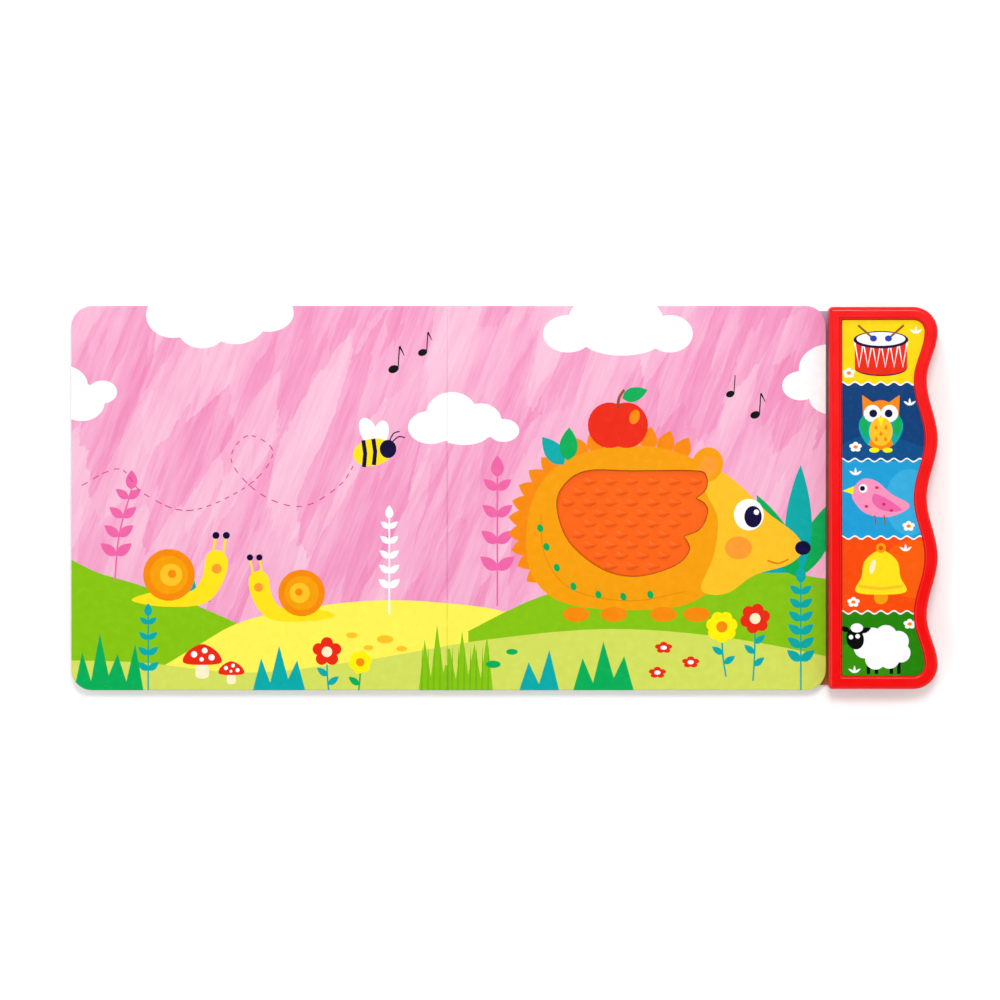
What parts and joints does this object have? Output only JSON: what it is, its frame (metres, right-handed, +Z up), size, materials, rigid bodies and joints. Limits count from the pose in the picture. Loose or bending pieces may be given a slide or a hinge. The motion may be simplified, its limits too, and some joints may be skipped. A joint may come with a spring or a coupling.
{
  "type": "children's board sound book",
  "caption": "Children's thick-card sound book lying open, with a hinged cover and pages, a soft touch pad let into a page, and a waved plastic sound module with press buttons.",
  "frame": {"origin": "middle of the open book's footprint, on the table", "axes": "+X across the open book from the cover side to the sound module, +Y towards the head of the pages, +Z up off the table"},
  "size_m": [0.4166, 0.185, 0.017],
  "materials": {
    "cover_print": "laminated print on card",
    "page_print": "laminated print on thick card",
    "pad_rubber": "soft matt rubber with raised drops",
    "red_plastic": "glossy moulded plastic",
    "label_print": "glossy printed film",
    "cap_plastic": "matt moulded plastic",
    "dome_rubber": "silicone rubber",
    "board_green": "solder-masked board",
    "chip_epoxy": "cast epoxy",
    "speaker_steel": "plated steel",
    "cone_film": "thin plastic film",
    "coil_copper": "enamelled copper",
    "magnet": "sintered magnet",
    "lead_red": "insulated lead",
    "lead_black": "insulated lead",
    "cell_steel": "nickel plated",
    "contact_metal": "plated spring brass",
    "screw_steel": "zinc plated"
  },
  "bodies": {
    "back": {"back_cover": "cover_print", "pages_right": "page_print", "touch_pad": "pad_rubber", "module_housing": "red_plastic", "module_base": "red_plastic", "button_label": "label_print", "contact_dome_1": "dome_rubber", "contact_dome_2": "dome_rubber", "contact_dome_3": "dome_rubber", "contact_dome_4": "dome_rubber", "contact_dome_5": "dome_rubber", "circuit_board": "board_green", "chip_blob": "chip_epoxy", "speaker_frame": "speaker_steel", "speaker_cone": "cone_film", "voice_coil": "coil_copper", "speaker_magnet": "magnet", "speaker_wire_red": "lead_red", "speaker_wire_black": "lead_black", "button_cell_1": "cell_steel", "button_cell_2": "cell_steel", "button_cell_3": "cell_steel", "contact_negative": "contact_metal", "contact_link_top": "contact_metal", "contact_link_door": "contact_metal", "contact_positive": "contact_metal", "battery_door": "red_plastic", "door_screw": "screw_steel", "housing_screw_1": "screw_steel", "housing_screw_2": "screw_steel", "housing_screw_3": "screw_steel", "housing_screw_4": "screw_steel"},
    "front": {"front_cover": "cover_print", "pages_left": "page_print"},
    "button_1": {"button_cap_1": "cap_plastic"},
    "button_2": {"button_cap_2": "cap_plastic"},
    "button_3": {"button_cap_3": "cap_plastic"},
    "button_4": {"button_cap_4": "cap_plastic"},
    "button_5": {"button_cap_5": "cap_plastic"}
  },
  "joints": [
    {"name": "front_hinge", "type": "hinge", "parent": "back", "child": "front", "pos_m": [-0.02725, 0, 0.00865], "axis": [0, 1, 0], "range_deg": [0, 180]},
    {"name": "button_1_press", "type": "slide", "parent": "back", "child": "button_1", "axis": [0, 0, -1], "range_m": [0, 0.0008], "stiffness_N_per_m": 900, "springref_m": -0.0003, "deforming": ["contact_dome_1"]},
    {"name": "button_2_press", "type": "slide", "parent": "back", "child": "button_2", "axis": [0, 0, -1], "range_m": [0, 0.0008], "stiffness_N_per_m": 900, "springref_m": -0.0003, "deforming": ["contact_dome_2"]},
    {"name": "button_3_press", "type": "slide", "parent": "back", "child": "button_3", "axis": [0, 0, -1], "range_m": [0, 0.0008], "stiffness_N_per_m": 900, "springref_m": -0.0003, "deforming": ["contact_dome_3"]},
    {"name": "button_4_press", "type": "slide", "parent": "back", "child": "button_4", "axis": [0, 0, -1], "range_m": [0, 0.0008], "stiffness_N_per_m": 900, "springref_m": -0.0003, "deforming": ["contact_dome_4"]},
    {"name": "button_5_press", "type": "slide", "parent": "back", "child": "button_5", "axis": [0, 0, -1], "range_m": [0, 0.0008], "stiffness_N_per_m": 900, "springref_m": -0.0003, "deforming": ["contact_dome_5"]}
  ]
}
